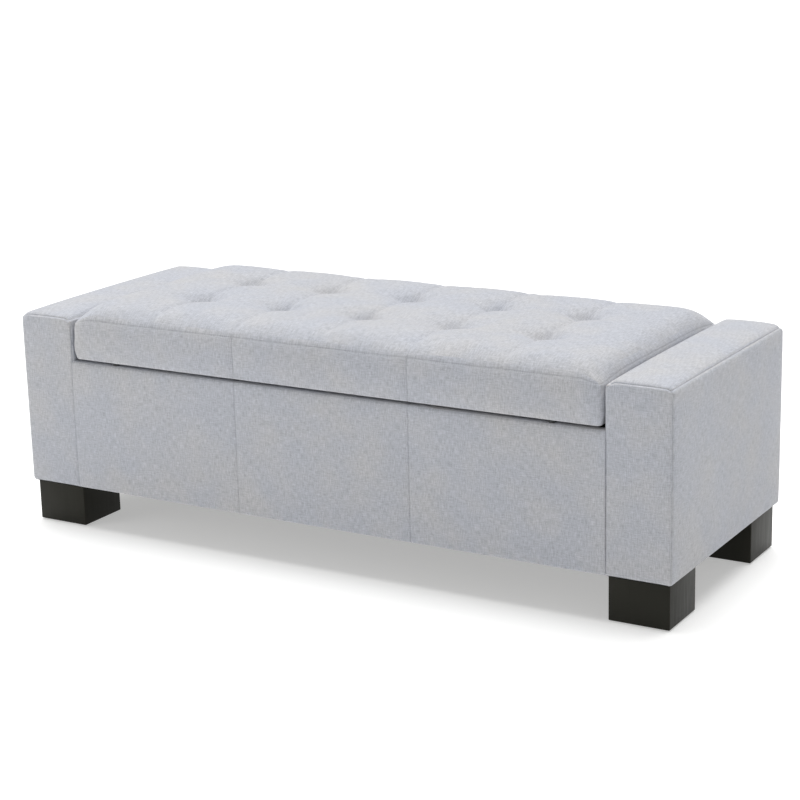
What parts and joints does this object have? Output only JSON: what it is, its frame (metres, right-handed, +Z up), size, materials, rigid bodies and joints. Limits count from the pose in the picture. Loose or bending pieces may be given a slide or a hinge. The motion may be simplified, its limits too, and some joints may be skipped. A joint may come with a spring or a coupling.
{
  "type": "storage bench",
  "caption": "Upholstered storage bench with padded box ends, a tufted lid hinged at the back over a lined chest, lid stays and dark block feet.",
  "frame": {"origin": "on the floor, under the middle of the bench's bounding box", "axes": "+X along the bench to the right end as seen from the front, -Y towards the front, +Z up"},
  "size_m": [1.3, 0.485, 0.424],
  "materials": {
    "upholstery": "woven linen look, light cool grey",
    "foam": "open-cell cushion foam",
    "black_cloth": "black non-woven cloth",
    "panel_board": "raw particle board",
    "block_wood": "planed pine",
    "foot_wood": "satin espresso paint",
    "stay_steel": "black powder coat",
    "zinc_steel": "zinc plated",
    "pad_felt": "dark felt",
    "bumper_rubber": "moulded rubber",
    "twine": "waxed twine",
    "anchor_plastic": "moulded plastic"
  },
  "bodies": {
    "chest": {"back_cover": "upholstery", "back_left_foot": "foot_wood", "back_left_leg_block": "block_wood", "back_panel": "panel_board", "back_right_foot": "foot_wood", "back_right_leg_block": "block_wood", "bottom_panel": "panel_board", "compartment_lining": "black_cloth", "dust_cover": "black_cloth", "foot_bolts": "zinc_steel", "foot_pads": "pad_felt", "foot_tee_nuts": "zinc_steel", "front_cover": "upholstery", "front_left_foot": "foot_wood", "front_left_leg_block": "block_wood", "front_panel": "panel_board", "front_right_foot": "foot_wood", "front_right_leg_block": "block_wood", "hinge_box_leaves": "zinc_steel", "hinge_box_screws": "zinc_steel", "hinge_pins": "zinc_steel", "left_arm_back_board": "panel_board", "left_arm_cover": "upholstery", "left_arm_foam": "foam", "left_arm_front_board": "panel_board", "left_arm_top_board": "panel_board", "left_inner_side_panel": "panel_board", "left_outer_side_panel": "panel_board", "left_stay_box_bracket": "stay_steel", "lid_bumpers": "bumper_rubber", "right_arm_back_board": "panel_board", "right_arm_cover": "upholstery", "right_arm_foam": "foam", "right_arm_front_board": "panel_board", "right_arm_top_board": "panel_board", "right_inner_side_panel": "panel_board", "right_outer_side_panel": "panel_board", "right_stay_box_bracket": "stay_steel", "stay_box_screws": "zinc_steel"},
    "lid": {"lid_board": "panel_board", "lid_foam": "foam", "lid_cover": "upholstery", "lid_lining": "black_cloth", "tuft_ties": "twine", "tuft_anchors": "anchor_plastic", "hinge_lid_leaves": "zinc_steel", "hinge_lid_screws": "zinc_steel", "left_stay_lid_bracket": "stay_steel", "right_stay_lid_bracket": "stay_steel", "stay_lid_screws": "zinc_steel"},
    "left_stay_arm": {"left_stay_arm": "stay_steel", "left_elbow_rivet": "zinc_steel"},
    "left_stay_link": {"left_stay_link": "stay_steel"},
    "right_stay_arm": {"right_stay_arm": "stay_steel", "right_elbow_rivet": "zinc_steel"},
    "right_stay_link": {"right_stay_link": "stay_steel"}
  },
  "joints": [
    {"name": "lid_hinge", "type": "hinge", "parent": "chest", "child": "lid", "pos_m": [0, 0.239, 0.325], "axis": [-1, 0, 0], "range_deg": [0, 95]},
    {"name": "left_stay_pivot", "type": "hinge", "parent": "chest", "child": "left_stay_arm", "pos_m": [-0.528, 0.179, 0.245], "axis": [-1, 0, 0], "range_deg": [0, 95]},
    {"name": "left_stay_elbow", "type": "hinge", "parent": "left_stay_arm", "child": "left_stay_link", "pos_m": [-0.5235, -0.021, 0.235], "axis": [-1, 0, 0], "range_deg": [-95, 0]},
    {"name": "right_stay_pivot", "type": "hinge", "parent": "chest", "child": "right_stay_arm", "pos_m": [0.528, 0.179, 0.245], "axis": [-1, 0, 0], "range_deg": [0, 95]},
    {"name": "right_stay_elbow", "type": "hinge", "parent": "right_stay_arm", "child": "right_stay_link", "pos_m": [0.5235, -0.021, 0.235], "axis": [-1, 0, 0], "range_deg": [-95, 0]}
  ],
  "couplings": [
    {"joint": "left_stay_pivot", "follows": "lid_hinge", "ratio": 1},
    {"joint": "left_stay_elbow", "follows": "lid_hinge", "ratio": -1},
    {"joint": "right_stay_pivot", "follows": "lid_hinge", "ratio": 1},
    {"joint": "right_stay_elbow", "follows": "lid_hinge", "ratio": -1}
  ]
}
